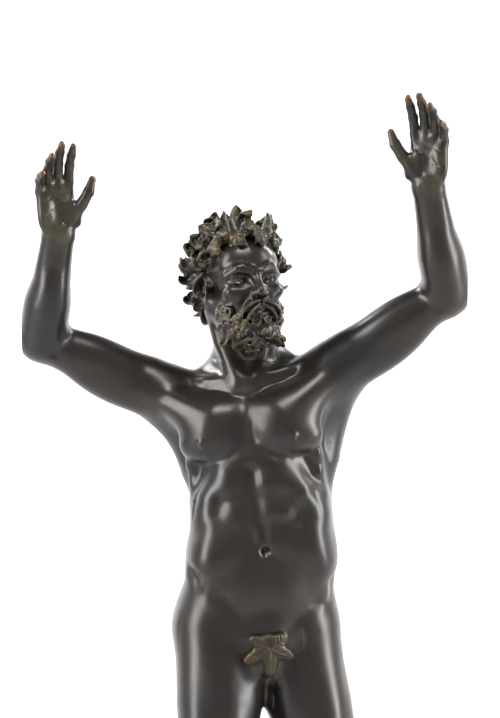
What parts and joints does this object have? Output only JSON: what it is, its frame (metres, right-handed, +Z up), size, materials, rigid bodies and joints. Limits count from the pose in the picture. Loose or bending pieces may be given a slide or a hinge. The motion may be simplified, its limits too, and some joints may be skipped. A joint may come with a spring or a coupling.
{
  "type": "dancing faun statuette",
  "caption": "Cast bronze statuette of a bearded faun dancing with both arms raised, with a fig leaf, on a low round plinth.",
  "frame": {"origin": "middle of the plinth's underside", "axes": "+Z up, -Y towards the figure's front, +X towards the figure's own left"},
  "size_m": [0.258, 0.1644, 0.596],
  "materials": {
    "dark_bronze": "dark brown-black patina under a thin lacquer, rubbed to the metal on high spots",
    "rubbed_bronze": "thin brown patina rubbed through on the ribs",
    "plinth_bronze": "turned, dark brown-black patina"
  },
  "bodies": {
    "root": {"faun": "dark_bronze", "fig_leaf": "rubbed_bronze", "plinth": "plinth_bronze"}
  },
  "joints": []
}
